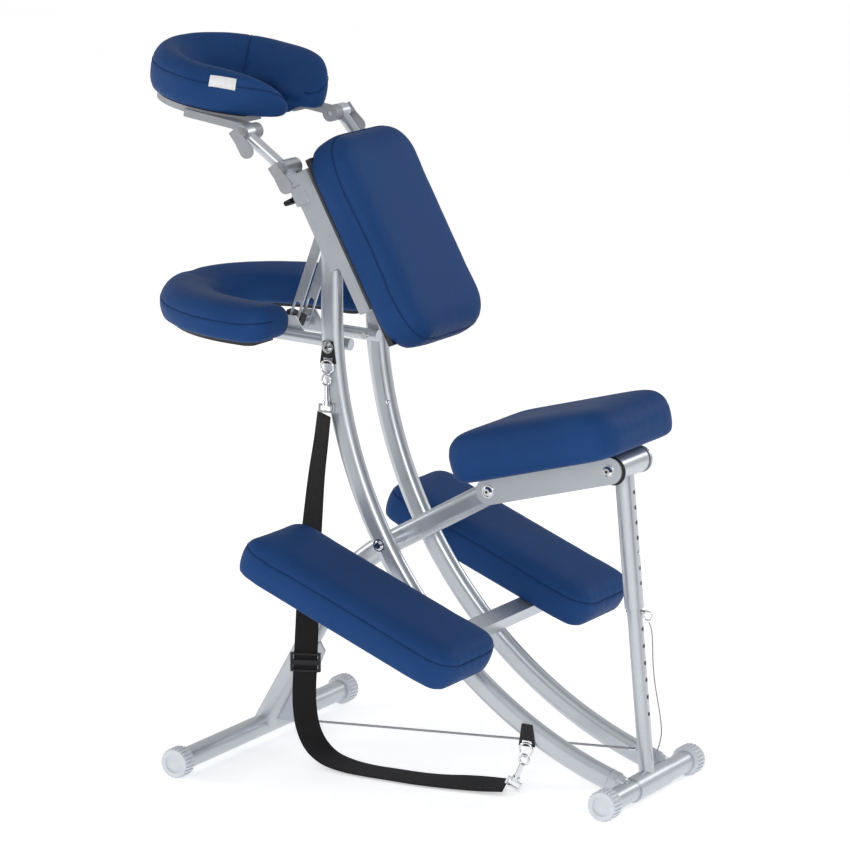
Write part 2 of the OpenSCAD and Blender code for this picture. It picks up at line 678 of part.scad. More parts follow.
sleeve_knob(1);  // sleeve_knob_left
sleeve_knob(-1);  // sleeve_knob_right
tension_cable();
pin_lanyard();
carry_strap();
strap_hook_upper();
strap_hook_lower();
strap_slider();
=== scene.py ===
import json
import math

import bmesh
import bpy
import numpy as np
from mathutils import Matrix, Vector
from mathutils.bvhtree import BVHTree
from mathutils.kdtree import KDTree


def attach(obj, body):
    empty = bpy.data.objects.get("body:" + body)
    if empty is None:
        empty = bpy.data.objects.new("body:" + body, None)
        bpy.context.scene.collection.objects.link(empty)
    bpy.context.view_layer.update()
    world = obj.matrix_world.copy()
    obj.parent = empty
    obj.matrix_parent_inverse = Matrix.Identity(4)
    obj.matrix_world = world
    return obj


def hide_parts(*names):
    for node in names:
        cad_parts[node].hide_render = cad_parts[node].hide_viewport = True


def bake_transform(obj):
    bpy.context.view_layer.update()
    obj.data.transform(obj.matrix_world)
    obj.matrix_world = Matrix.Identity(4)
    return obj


# The looks of a kneeling massage chair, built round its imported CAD. X is lateral (+X is the near side in the
# photograph), the sitter faces -Y, and Z is up. Lengths are in metres, and in mm where a comment says so.
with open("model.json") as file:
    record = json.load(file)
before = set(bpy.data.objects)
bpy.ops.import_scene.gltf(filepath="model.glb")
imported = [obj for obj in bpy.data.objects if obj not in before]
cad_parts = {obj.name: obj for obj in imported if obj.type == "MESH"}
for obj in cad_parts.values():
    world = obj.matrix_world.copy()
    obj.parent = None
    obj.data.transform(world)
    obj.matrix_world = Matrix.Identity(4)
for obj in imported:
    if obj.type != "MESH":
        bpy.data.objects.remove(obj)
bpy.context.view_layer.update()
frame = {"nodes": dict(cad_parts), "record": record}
NODES = frame["nodes"]
MID_Y = 0.0773          # how far the drawing's Y is moved so that the origin is under the box


def in_scene(name, data):
    ob = bpy.data.objects.new(name, data)
    bpy.context.collection.objects.link(ob)
    return ob


# ---------------------------------------------------------------- camera
PICTURE_PX, FOCAL_PX, SENSOR_MM = 850, 4500, 36
LOOK = Vector((0, MID_Y - 0.0475, 0.5463))
AZIMUTH, ELEVATION, DISTANCE = math.radians(119.1), math.radians(11.5), 7.02
back = Vector((math.sin(AZIMUTH) * math.cos(ELEVATION), -math.cos(AZIMUTH) * math.cos(ELEVATION),
               math.sin(ELEVATION)))
cam_data = bpy.data.cameras.new("camera")
cam_data.sensor_width = SENSOR_MM
cam_data.lens = SENSOR_MM * FOCAL_PX / PICTURE_PX
cam_data.clip_end = 60
cam = in_scene("camera", cam_data)
cam.location = LOOK + back * DISTANCE
cam.rotation_euler = (-back).to_track_quat("-Z", "Y").to_euler()
bpy.context.scene.camera = cam


# ---------------------------------------------------------------- places
def placed(y, z, deg=0.0):
    """The CAD's own placing of a point [y, z] in mm, turned about X."""
    return Matrix.Translation((0, MID_Y + y / 1000, z / 1000)) @ Matrix.Rotation(math.radians(deg), 4, "X")


def shift(x=0.0, y=0.0, z=0.0):
    return Matrix.Translation((x / 1000, y / 1000, z / 1000))


def at(m, x, y, z):
    """The place of a point given in mm in m's own frame."""
    return m @ Vector((x / 1000, y / 1000, z / 1000))


def point(y, z, x=0.0):
    """The place of the drawing's point [y, z] in mm, x mm to the side."""
    return at(placed(y, z), x, 0, 0)


# Points [y, z] of the drawing in mm, and slopes in degrees, as in part.scad
REAR_FOOT = (345, 24)
SEAT_FRONT, SEAT_RUN, SEAT_SLOPE = (93, 465), 213, 14.5
SEAT_REAR = (SEAT_FRONT[0] + SEAT_RUN * math.cos(math.radians(SEAT_SLOPE)),
             SEAT_FRONT[1] + SEAT_RUN * math.sin(math.radians(SEAT_SLOPE)))
STRUT_LEAN = math.degrees(math.atan2(REAR_FOOT[0] - SEAT_REAR[0], SEAT_REAR[1] - REAR_FOOT[1]))
STRUT = placed(*REAR_FOOT, STRUT_LEAN)
SEAT = placed(*SEAT_FRONT, SEAT_SLOPE)
KNEES = placed(-15, 330, -22.7)
CHEST = placed(-138, 867, 28)
ARM = placed(-174, 672, -3)
CRADLE = placed(-283, 1007, -9)
KNEE_X, TUBE_X = 226, 69                            # mm from the middle to each knee pad and main tube
UPRIGHT_Y, BEND_R, BEND_Z = -174.0, 717, 720        # mm: a main tube's straight part, and its bow
OVAL_HALF, OVAL_END = 6.0, 12.35                    # mm: half of a main tube's flat side, and its end's radius


# ---------------------------------------------------------------- mesh helpers
def add(name, verts, faces, finish=None, smooth=True):
    me = bpy.data.meshes.new(name)
    me.from_pydata([tuple(v) for v in verts], [], faces)
    me.validate()
    if smooth:
        me.polygons.foreach_set("use_smooth", [True] * len(me.polygons))
    if finish:
        me.materials.append(finish)
    return in_scene(name, me)


def weld(ob, d):
    bm = bmesh.new()
    bm.from_mesh(ob.data)
    bmesh.ops.remove_doubles(bm, verts=bm.verts, dist=d)
    bmesh.ops.recalc_face_normals(bm, faces=bm.faces)
    bm.to_mesh(ob.data)
    bm.free()


def spline(points, step):
    """Catmull-Rom through points (rows of numbers), about step apart."""
    p = np.array(points, float)
    ext = np.vstack([2 * p[0] - p[1], p, 2 * p[-1] - p[-2]])
    out = []
    for i in range(1, len(ext) - 2):
        a, b, c, d = ext[i - 1], ext[i], ext[i + 1], ext[i + 2]
        n = max(1, int(round(np.linalg.norm((c - b)[:3]) / step)))
        for k in range(n):
            t = k / n
            out.append(0.5 * (2 * b + (c - a) * t + (2 * a - 5 * b + 4 * c - d) * t * t
                              + (3 * b - a - 3 * c + d) * t ** 3))
    out.append(ext[-2])
    return np.array(out)


def loft(name, rings, finish, closed=False):
    """Skin over closed rings of equal count: capped at both ends, or joined end to end where closed."""
    n, k = len(rings), len(rings[0])
    verts = [tuple(v) for r in rings for v in r]
    faces = []
    for i in range(n if closed else n - 1):
        j = (i + 1) % n
        for q in range(k):
            w = (q + 1) % k
            faces.append((i * k + q, i * k + w, j * k + w, j * k + q))
    if not closed:
        faces.append(tuple(range(k - 1, -1, -1)))
        faces.append(tuple((n - 1) * k + q for q in range(k)))
    return add(name, verts, faces, finish)


def tube(name, path, r, finish, sides=10, closed=False):
    """Round tube of radius r along a path."""
    p = np.array(path, float)
    n = len(p)
    rings = []
    normal = None
    for i in range(n):
        a = p[(i - 1) % n] if closed or i else p[0]
        b = p[(i + 1) % n] if closed or i < n - 1 else p[-1]
        t = b - a
        t /= np.linalg.norm(t)
        if normal is None:
            normal = np.cross(t, (0.3, 0.2, 0.9) if abs(t[2]) < 0.9 else (1, 0, 0))
        normal = normal - t * normal.dot(t)
        normal /= np.linalg.norm(normal)
        side = np.cross(t, normal)
        rings.append([p[i] + r * (math.cos(2 * math.pi * k / sides) * normal
                                  + math.sin(2 * math.pi * k / sides) * side) for k in range(sides)])
    return loft(name, rings, finish, closed)


def turned(name, m, profile, finish, sides=40):
    """Solid of revolution about m's own Z: profile is [(r, z), ...] in mm, from the axis back to the axis."""
    verts, faces = [], []
    for r, z in profile:
        for k in range(sides):
            a = 2 * math.pi * k / sides
            verts.append(at(m, r * math.cos(a), r * math.sin(a), z))
    for i in range(len(profile) - 1):
        for k in range(sides):
            w = (k + 1) % sides
            faces.append((i * sides + k, i * sides + w, (i + 1) * sides + w, (i + 1) * sides + k))
    ob = add(name, verts, faces, finish)
    weld(ob, 1e-6)
    return ob


def block(name, m, size, finish, bevel):
    """Box in mm centred on m, edges rounded."""
    bm = bmesh.new()
    bmesh.ops.create_cube(bm, size=1)
    scale = Matrix.Diagonal((size[0] / 1000, size[1] / 1000, size[2] / 1000, 1))
    bmesh.ops.transform(bm, matrix=scale, verts=bm.verts)
    bmesh.ops.bevel(bm, geom=bm.edges[:], offset=bevel / 1000, segments=2, profile=0.7, affect="EDGES")
    bmesh.ops.transform(bm, matrix=m, verts=bm.verts)
    me = bpy.data.meshes.new(name)
    bm.to_mesh(me)
    bm.free()
    me.materials.append(finish)
    return in_scene(name, me)


def finish_piece(ob, body, slot, *stands_for):
    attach(ob, body)
    if stands_for:
        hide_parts(*stands_for)
    return ob


# ---------------------------------------------------------------- materials
DRIFT_FROM, DRIFT_TO = 0.32, 0.68               # noise levels between which the colour drifts
WEAR_FROM, WEAR_TO = 0.62, 0.78                 # noise levels between which a worn spot fades in
MIX_FACTOR, MIX_A, MIX_B, MIX_COLOUR = 0, 6, 7, 2       # sockets of a Mix node that mixes colours


def material(name, base, rough=0.5, metal=0.0, spread=0.06, scale=40, rough_spread=0.08, sheen=0.0,
             grain=("noise", 400, 0.15, 0.0004), fine=None, specular=0.5, wear=None, stretch=(1, 1, 1),
             ior=1.5):
    """Procedural finish in the piece's own metres: colour and gloss drift, grain bump, optional wear.

    grain and fine are (pattern, scale, strength, depth), where the pattern is noise, cells, or the axis of a
    ribbing; wear is (colour, amount, scale).
    """
    m = bpy.data.materials.new(name)
    m.use_nodes = True
    nt = m.node_tree
    bsdf = nt.nodes["Principled BSDF"]

    def node(kind, **sets):
        n = nt.nodes.new(kind)
        for k, v in sets.items():
            if k in n.inputs:
                n.inputs[k].default_value = v
            else:
                setattr(n, k, v)
        return n

    link = nt.links.new
    coord = node("ShaderNodeTexCoord")
    mapping = node("ShaderNodeMapping", Scale=stretch)
    link(coord.outputs["Object"], mapping.inputs["Vector"])
    where = mapping.outputs["Vector"]

    drift = node("ShaderNodeTexNoise", Scale=scale, Detail=4.0, Roughness=0.55)
    link(where, drift.inputs["Vector"])
    ramp = node("ShaderNodeValToRGB")
    low, high = ramp.color_ramp.elements
    low.position, high.position = DRIFT_FROM, DRIFT_TO
    low.color = (*[max(0.0, c * (1 - spread)) for c in base], 1)
    high.color = (*[min(1.0, c * (1 + spread)) for c in base], 1)
    link(drift.outputs["Fac"], ramp.inputs["Fac"])
    colour = ramp.outputs["Color"]
    if wear:
        tint, amount, wear_scale = wear
        spots = node("ShaderNodeTexNoise", Scale=wear_scale, Detail=8.0, Roughness=0.7)
        link(where, spots.inputs["Vector"])
        edge = node("ShaderNodeMapRange")
        edge.inputs["From Min"].default_value, edge.inputs["From Max"].default_value = WEAR_FROM, WEAR_TO
        edge.inputs["To Max"].default_value = amount
        link(spots.outputs["Fac"], edge.inputs["Value"])
        mix = node("ShaderNodeMix", data_type="RGBA")
        mix.inputs[MIX_B].default_value = (*tint, 1)
        link(edge.outputs["Result"], mix.inputs[MIX_FACTOR])
        link(colour, mix.inputs[MIX_A])
        colour = mix.outputs[MIX_COLOUR]
    link(colour, bsdf.inputs["Base Color"])
    gloss = node("ShaderNodeMapRange")
    gloss.inputs["To Min"].default_value = max(0.02, rough - rough_spread)
    gloss.inputs["To Max"].default_value = min(1.0, rough + rough_spread)
    link(drift.outputs["Fac"], gloss.inputs["Value"])
    link(gloss.outputs["Result"], bsdf.inputs["Roughness"])
    height = None
    for pattern, pattern_scale, strength, depth in [g for g in (grain, fine) if g]:
        if pattern == "noise":
            tex = node("ShaderNodeTexNoise", Scale=pattern_scale, Detail=3.0)
            out = tex.outputs["Fac"]
        elif pattern == "cells":
            tex = node("ShaderNodeTexVoronoi", Scale=pattern_scale)
            out = tex.outputs["Distance"]
        else:
            tex = node("ShaderNodeTexWave", Scale=pattern_scale, Distortion=0.6, Detail=1.0)
            tex.wave_type = "BANDS"
            tex.bands_direction = pattern
            out = tex.outputs["Fac"]
        link(where, tex.inputs["Vector"])
        bump = node("ShaderNodeBump", Strength=strength, Distance=depth)
        link(out, bump.inputs["Height"])
        if height is not None:
            link(height, bump.inputs["Normal"])
        height = bump.outputs["Normal"]
    link(height, bsdf.inputs["Normal"])
    bsdf.inputs["Metallic"].default_value = metal
    bsdf.inputs["Sheen Weight"].default_value = sheen
    bsdf.inputs["Specular IOR Level"].default_value = specular
    bsdf.inputs["IOR"].default_value = ior
    return m


VINYL = material("vinyl", (0.0140, 0.052, 0.168), 0.5, scale=9, ior=1.14, grain=("cells", 900, 0.35, 0.0004),
                 fine=("noise", 55, 0.25, 0.0012), wear=((0.020, 0.066, 0.205), 0.2, 30))
SEAM = material("seam_thread", (0.0095, 0.040, 0.135), 0.6, ior=1.14, grain=("X", 700, 0.5, 0.0004),
                fine=("Y", 700, 0.5, 0.0004))
PAINT = material("silver_enamel", (0.52, 0.55, 0.59), 0.30, metal=0.6, spread=0.035, scale=14,
                 grain=("noise", 260, 0.12, 0.0003), fine=("noise", 1400, 0.12, 0.0001),
                 wear=((0.40, 0.42, 0.45), 0.35, 60))
BRUSHED = material("board_edge_metal", (0.50, 0.53, 0.57), 0.34, metal=0.7, spread=0.05, scale=20,
                   grain=("noise", 500, 0.15, 0.0002), stretch=(1, 8, 8))
CHROME = material("chrome", (0.74, 0.75, 0.77), 0.16, metal=1.0, spread=0.04, scale=60, rough_spread=0.05,
                  grain=("noise", 300, 0.06, 0.0002))
WIRE = material("wire_rope", (0.50, 0.51, 0.53), 0.34, metal=0.9, spread=0.12, scale=500,
                grain=("Z", 420, 0.9, 0.0006), fine=("Y", 420, 0.9, 0.0006))
CAPS = material("cap_plastic", (0.62, 0.65, 0.70), 0.48, spread=0.04, scale=60,
                grain=("noise", 900, 0.25, 0.0003), wear=((0.45, 0.47, 0.52), 0.3, 80))
PLATE = material("plate_plastic", (0.29, 0.30, 0.32), 0.45, spread=0.04, scale=50,
                 grain=("cells", 1200, 0.25, 0.0003), wear=((0.22, 0.23, 0.245), 0.25, 70))
BLACK = material("black_plastic", (0.012, 0.012, 0.014), 0.45, ior=1.35, spread=0.2, scale=80,
                 grain=("cells", 1100, 0.3, 0.0003), wear=((0.05, 0.05, 0.055), 0.4, 90))
BOARD = material("black_board", (0.020, 0.020, 0.022), 0.6, spread=0.3, scale=30,
                 grain=("noise", 160, 0.4, 0.0005), stretch=(1, 9, 1), wear=((0.06, 0.05, 0.045), 0.4, 60))
WEB = material("webbing", (0.010, 0.010, 0.012), 0.75, spread=0.25, scale=300, sheen=0.08, ior=1.3,
               grain=("Z", 520, 0.9, 0.0010), fine=("Y", 260, 0.6, 0.0006))
# Near black painted on the bolt ends: painted shade that stands in for the recess of each hex socket
SOCKET_SHADE_PAINT = material("painted_socket_shade", (0.012, 0.012, 0.013), 0.8, grain=("noise", 500, 0.2, 0.0003))
LABEL = material("label_cloth", (0.94, 0.94, 0.95), 0.75, spread=0.03, scale=200, sheen=0.2,
                 grain=("X", 900, 0.6, 0.0003), fine=("Y", 900, 0.6, 0.0003))

FINISH = {
    "frame_paint": PAINT, "board_black": BOARD, "plate_grey": PLATE, "cap_grey": CAPS, "vinyl_blue": VINYL,
    "black_plastic": BLACK, "chrome": CHROME, "webbing": WEB, "steel_wire": WIRE,
}
SLOT_OF = {s["node"]: s["material_slot"] for s in frame["record"]["subparts"]}
for node_name, node_ob in NODES.items():
    node_ob.data.materials.clear()
    node_ob.data.materials.append(FINISH[SLOT_OF[node_name]])
# Two painted parts with a look of their own
NODES["seat_board"].data.materials[0] = BOARD
NODES["brace_bars"].data.materials[0] = BRUSHED

SHARP = ("knee_supports", "chest_brackets", "post_sleeves", "cradle_posts", "seat_channel", "knee_board_left",
         "knee_board_right", "chest_board", "arm_board", "arm_knob", "brace_bars", "arm_bracket", "seat_board",
         "front_gusset", "front_foot_caps", "rear_foot_caps", "cradle_plate", "strap_brackets",
         "strut_outer_tube", "link_lever_left", "link_lever_right", "tilt_lever_left", "tilt_lever_right",
         "sleeve_knob_left", "sleeve_knob_right", "strap_slider", "brace_rod", "cradle_links",
         "strut_foot_sleeve")
for node_name in SHARP:
    soft_edges = NODES[node_name].modifiers.new("soft_edges", "BEVEL")
    soft_edges.width = 0.0007
    soft_edges.segments = 2
    soft_edges.limit_method = "ANGLE"
    soft_edges.angle_limit = math.radians(38)

# ---------------------------------------------------------------- carrying strap
STRAP_W, STRAP_T = 0.038, 0.0016
# x, y, z in mm from the upper hook to the lower one, then the direction across the webbing
STRAP_ROUTE = [
    (85, -180, 566, 0.45, 0.89, 0), (85, -186, 520, 0.40, 0.92, 0), (86, -193, 470, 0.30, 0.95, 0),
    (87, -199, 410, 0.15, 0.99, 0), (88, -204, 350, 0, 1, 0), (88, -208, 290, -0.12, 0.99, 0),
    (88, -211, 230, -0.24, 0.97, 0), (88, -214, 170, -0.34, 0.94, 0), (89, -216, 125, -0.40, 0.92, 0),
    (90, -215, 92, -0.45, 0.88, 0.10), (92, -208, 60, -0.55, 0.76, 0.30), (95, -192, 34, -0.72, 0.52, 0.42),
    (99, -165, 17, -0.88, 0.24, 0.38), (103, -130, 10, -0.95, 0.06, 0.30), (106, -90, 8, -0.97, 0, 0.24),
    (107, -45, 8, -0.97, 0, 0.24), (107, 0, 8, -0.96, 0, 0.26), (105, 40, 9, -0.95, 0, 0.30),
    (101, 80, 11, -0.92, 0, 0.38), (96, 112, 12, -0.92, 0, 0.38), (90, 145, 13, -0.95, 0, 0.30)]
# Half of the webbing's section, in widths and thicknesses
HALF_SECTION = [(-0.5, 0), (-0.485, 0.42), (-0.3, 0.5), (0, 0.5), (0.3, 0.5), (0.485, 0.42)]
SECTION = HALF_SECTION + [(-u, -v) for u, v in HALF_SECTION]
route = spline([(x / 1000, y / 1000 + MID_Y, z / 1000, a, b, c) for x, y, z, a, b, c in STRAP_ROUTE], 0.006)
centre = route[:, :3]
along = np.gradient(centre, axis=0)
along /= np.linalg.norm(along, axis=1)[:, None]
across = route[:, 3:] - (route[:, 3:] * along).sum(1)[:, None] * along
across /= np.linalg.norm(across, axis=1)[:, None]
face = np.cross(along, across)
strap = loft("carry_strap_webbing", [
    [centre[i] + across[i] * u * STRAP_W + face[i] * v * STRAP_T for u, v in SECTION]
    for i in range(len(centre))], WEB)
finish_piece(strap, "main_frame", "webbing", "carry_strap")

# ---------------------------------------------------------------- pin lanyard
# mm in the strut's frame, from the pin's ring down to the strut
LANYARD = [(0, 23, 252), (0, 26, 243), (0, 27, 230), (0, 26, 210), (0, 25, 190), (0, 25, 170),
           (0, 26, 150), (0, 28, 130), (0, 30, 110), (0, 31, 92), (0, 30, 76), (0, 26, 62), (0, 21, 50),
           (0, 17, 42), (0, 14, 34)]
lan_path = spline([tuple(at(STRUT, *p)) for p in LANYARD], 0.004)
lanyard = tube("pin_lanyard_wire", lan_path, 0.001, WIRE, sides=8)
finish_piece(lanyard, "strut_lower", "steel_wire", "pin_lanyard")

# ---------------------------------------------------------------- tension cable
CABLE = [point(-284, 40), point(316.5, 73.45)]
FERRULE = [(313.5, 73.28), (314.5, 73.33), (325.3, 73.93), (326.3, 73.99)]     # on the cable's line, mm
steps = np.linspace(0, 1, 60)[:, None]
cable_path = np.array(CABLE[0]) * (1 - steps) + np.array(CABLE[1]) * steps
cable = tube("tension_cable_wire", cable_path, 0.002, WIRE)
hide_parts("tension_cable")
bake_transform(cable)
ferrule = tube("cable_ferrule", [point(y, z) for y, z in FERRULE], 0.0032, CHROME, sides=12)
finish_piece(ferrule, "strut_lower", "chrome")


# ---------------------------------------------------------------- outlines and mesh data for the pads
def loops_at(node, m, z):
    """Closed outlines, in m's frame, where a CAD node's mesh meets the plane at m's own height z."""
    bm = bmesh.new()
    bm.from_mesh(NODES[node].data)
    bmesh.ops.remove_doubles(bm, verts=bm.verts, dist=1e-6)
    bmesh.ops.transform(bm, matrix=m.inverted(), verts=bm.verts)
    cut = bmesh.ops.bisect_plane(bm, geom=bm.verts[:] + bm.edges[:] + bm.faces[:], plane_co=(0, 0, z),
                                 plane_no=(0, 0, 1))
    links = {}
    for e in cut["geom_cut"]:
        if isinstance(e, bmesh.types.BMEdge):
            a, b = e.verts
            links.setdefault(a, []).append(b)
            links.setdefault(b, []).append(a)
    todo, loops = set(links), []
    while todo:
        start = max(todo, key=lambda v: (round(v.co.x, 5), round(v.co.y, 5)))
        loop, prev, cur = [], None, start
        while cur in todo:
            todo.discard(cur)
            loop.append((cur.co.x, cur.co.y))
            nxt = [v for v in links[cur] if v in todo and v is not prev]
            if not nxt:
                break
            prev, cur = cur, nxt[0]
        if len(loop) > 8:
            loops.append(np.array(loop))
    bm.free()
    return loops


def resample(loop, step):
    """Points on a closed line, evenly spaced about step apart."""
    p = np.vstack([loop, loop[:1]])
    seg = np.linalg.norm(np.diff(p, axis=0), axis=1)
    s = np.concatenate([[0], np.cumsum(seg)])
    n = max(24, int(s[-1] / step))
    t = np.linspace(0, s[-1], n, endpoint=False)
    return np.stack([np.interp(t, s, p[:, k]) for k in range(p.shape[1])], 1)


def outward(loop):
    """Unit normals of a closed 2-D outline, pointing out of it."""
    n = np.roll(loop, -1, 0) - np.roll(loop, 1, 0)
    n = np.stack([n[:, 1], -n[:, 0]], 1)
    n /= np.linalg.norm(n, axis=1)[:, None]
    twice_area = np.sum(loop[:, 0] * np.roll(loop[:, 1], -1) - np.roll(loop[:, 0], -1) * loop[:, 1])
    return n if twice_area > 0 else -n


def vertex_rows(me, what):
    rows = np.empty(len(me.vertices) * 3, np.float32)
    me.vertices.foreach_get(what, rows)
    return rows.reshape(-1, 3).astype(float)


def set_coords(me, co):
    me.vertices.foreach_set("co", co.astype(np.float32).ravel())
    me.update()


def surface_tree(me):
    return BVHTree.FromPolygons([v.co[:] for v in me.vertices], [tuple(p.vertices) for p in me.polygons])


def apply_modifiers(ob):
    bpy.context.view_layer.update()
    me = bpy.data.meshes.new_from_object(ob.evaluated_get(bpy.context.evaluated_depsgraph_get()))
    ob.modifiers.clear()
    old, ob.data = ob.data, me
    bpy.data.meshes.remove(old)


def nearest(points, tree_points):
    """Distance to, and index of, the nearest of tree_points for each 2-D or 3-D point."""
    def xyz(p):
        return p[0], p[1], p[2] if len(p) > 2 else 0.0

    tree = KDTree(len(tree_points))
    for i, p in enumerate(tree_points):
        tree.insert(xyz(p), i)
    tree.balance()
    d, idx = np.empty(len(points)), np.empty(len(points), int)
    for k, p in enumerate(points):
        _, idx[k], d[k] = tree.find(xyz(p))
    return d, idx


def relax(me, rounds):
    """Laplacian smoothing of a mesh's own vertices, half-way to their neighbours' mean each round."""
    co = vertex_rows(me, "co")
    ed = np.empty(len(me.edges) * 2, np.int32)
    me.edges.foreach_get("vertices", ed)
    ed = ed.reshape(-1, 2)
    count = np.zeros(len(co))
    np.add.at(count, ed[:, 0], 1)
    np.add.at(count, ed[:, 1], 1)
    for _ in range(rounds):
        acc = np.zeros_like(co)
        np.add.at(acc, ed[:, 0], co[ed[:, 1]])
        np.add.at(acc, ed[:, 1], co[ed[:, 0]])
        co = co * 0.5 + 0.5 * acc / count[:, None]
    set_coords(me, co)


# ---------------------------------------------------------------- a stuffed vinyl pad
WALL_STEP, RIM_STEP = 0.006, 0.003      # spacing of the points on a pad's wall, and on the rim it is shaped from
VOXEL = 0.0055
SIDE_BULGE, SIDE_REACH = 0.003, 0.006   # how far a side swells half-way up, and how deep that reaches
UNDER_REACH = 0.02                      # how far in from the rim the underside is turned up
CLOTH_FRAMES, CLOTH_CAP = 11, 0.0016    # length of the cloth run, and the most that it may move a point
GROUNDED = 0.012                        # height above the board below which the cloth run counts for less
LINE_GAP, SEAM_STEP = 0.0015, 0.002     # least and usual spacing of the points on a seam
SEAM_DEEP, PLAIN_SEAM_DEEP, SEAM_WIDE = 0.0012, 0.0005, 0.0030
CREASE_DEEP, CREASE_WIDE = 0.0030, 0.0042
GATHER, GATHER_LENGTH, GATHER_REACH = 0.00022, 0.021, 0.014     # ripples that a seam pulls into the vinyl
WELT_R = 0.0006


def blank_pad(name, outline, height):
    """A straight-sided block on an outline, remeshed evenly."""
    bm = bmesh.new()
    low = [bm.verts.new((x, y, 0)) for x, y in outline]
    high = [bm.verts.new((x, y, height)) for x, y in outline]
    bm.faces.new(low)
    bm.faces.new(high)
    for i in range(len(low)):
        j = (i + 1) % len(low)
        bm.faces.new((low[i], low[j], high[j], high[i]))
    bmesh.ops.triangulate(bm, faces=bm.faces[:])
    bmesh.ops.recalc_face_normals(bm, faces=bm.faces)
    me = bpy.data.meshes.new(name)
    bm.to_mesh(me)
    bm.free()
    ob = in_scene(name, me)
    remesh = ob.modifiers.new("remesh", "REMESH")
    remesh.mode, remesh.voxel_size = "VOXEL", VOXEL
    apply_modifiers(ob)
    return ob


def rolled(share, r):
    """How far an edge of radius r draws in: share is 1 at the very edge and 0 where the rounding ends."""
    return r * (1 - np.sqrt(np.clip(1 - share ** 2, 0, 1)))


def shape_pad(me, rim, rim_out, height, top, edge_r, floor_r):
    """Give a blank its crowned top, swelling sides, and rolled upper and lower edges."""
    co = vertex_rows(me, "co")
    d, idx = nearest(co[:, :2], rim)
    u = np.clip(co[:, 2] / height, 0, 1)
    zt = top(co[:, 0], co[:, 1], d)
    zb = floor_r * np.clip(1 - d / UNDER_REACH, 0, 1) ** 2 * 0.6
    z = zb + u * (zt - zb)
    near = np.exp(-(d / SIDE_REACH) ** 2)
    from_top = np.clip(1 - (zt - z) / edge_r, 0, 1)
    from_floor = np.clip(1 - z / floor_r, 0, 1)
    roll = rolled(from_top, edge_r) * 0.75 + rolled(from_floor, floor_r) * 0.8
    push = SIDE_BULGE * np.sin(np.pi * u) * near - roll * near
    co[:, :2] += rim_out[idx] * push[:, None]
    co[:, 2] = z
    set_coords(me, co)


def puff(ob, pressure):
    """Swell a pad with a short cloth run, capped, and less so near its board."""
    co = vertex_rows(ob.data, "co")
    cloth = ob.modifiers.new("cloth", "CLOTH")
    s = cloth.settings
    s.quality = 4
    s.mass = 0.25
    s.tension_stiffness = s.compression_stiffness = 12
    s.bending_stiffness = 0.6
    s.use_pressure = True
    s.uniform_pressure_force = pressure
    s.effector_weights.gravity = 0
    cloth.collision_settings.use_self_collision = False
    for f in range(1, CLOTH_FRAMES + 1):
        bpy.context.scene.frame_set(f)
    bpy.context.view_layer.update()
    puffed = vertex_rows(ob.evaluated_get(bpy.context.evaluated_depsgraph_get()).data, "co")
    ob.modifiers.clear()
    bpy.context.scene.frame_set(1)
    move = puffed - co
    size = np.linalg.norm(move, axis=1)[:, None]
    move *= np.minimum(1, CLOTH_CAP / np.maximum(size, 1e-9))
    co = co + move * (0.25 + 0.75 * np.clip(co[:, 2:3] / GROUNDED, 0, 1))
    co[:, 2] = np.maximum(co[:, 2], 0.0)
    set_coords(ob.data, co)
    relax(ob.data, 3)


def rim_line(rim, rim_out, z, where):
    """Points outside the rim at height z: all of them, or the one stretch of rim where where(x, y) is true."""
    line = [(*(p + n * 0.02), z) for p, n in zip(rim[::2], rim_out[::2])]
    if where is None:
        return line
    keep = [where(*p) for p in rim[::2]]
    first = next(i for i in range(len(keep)) if keep[i] and not keep[i - 1])
    line, keep = line[first:] + line[:first], keep[first:] + keep[:first]
    return line[:keep.index(False)]


def lay_on(tree, points):
    """A line's points brought onto a surface."""
    hit = []
    for p in points:
        q = tree.find_nearest(Vector(p))[0]
        if q is not None and (not hit or (q - hit[-1]).length > LINE_GAP):
            hit.append(q)
    return np.array([tuple(q) for q in hit])


def sewn_in(co, line, deep, wide):
    """How far each point sinks where a seam or crease is drawn in, with the gathers beside it."""
    d, idx = nearest(co, line)
    run = idx * SEAM_STEP
    dip = deep * np.exp(-(d / wide) ** 2)
    ripple = (np.sin(run * 2 * np.pi / GATHER_LENGTH + 2.1 * np.sin(run * 17))
              * (0.5 + 0.5 * np.sin(run * 7.3 + 1)))
    return dip + GATHER * ripple * np.exp(-(d / GATHER_REACH) ** 2)


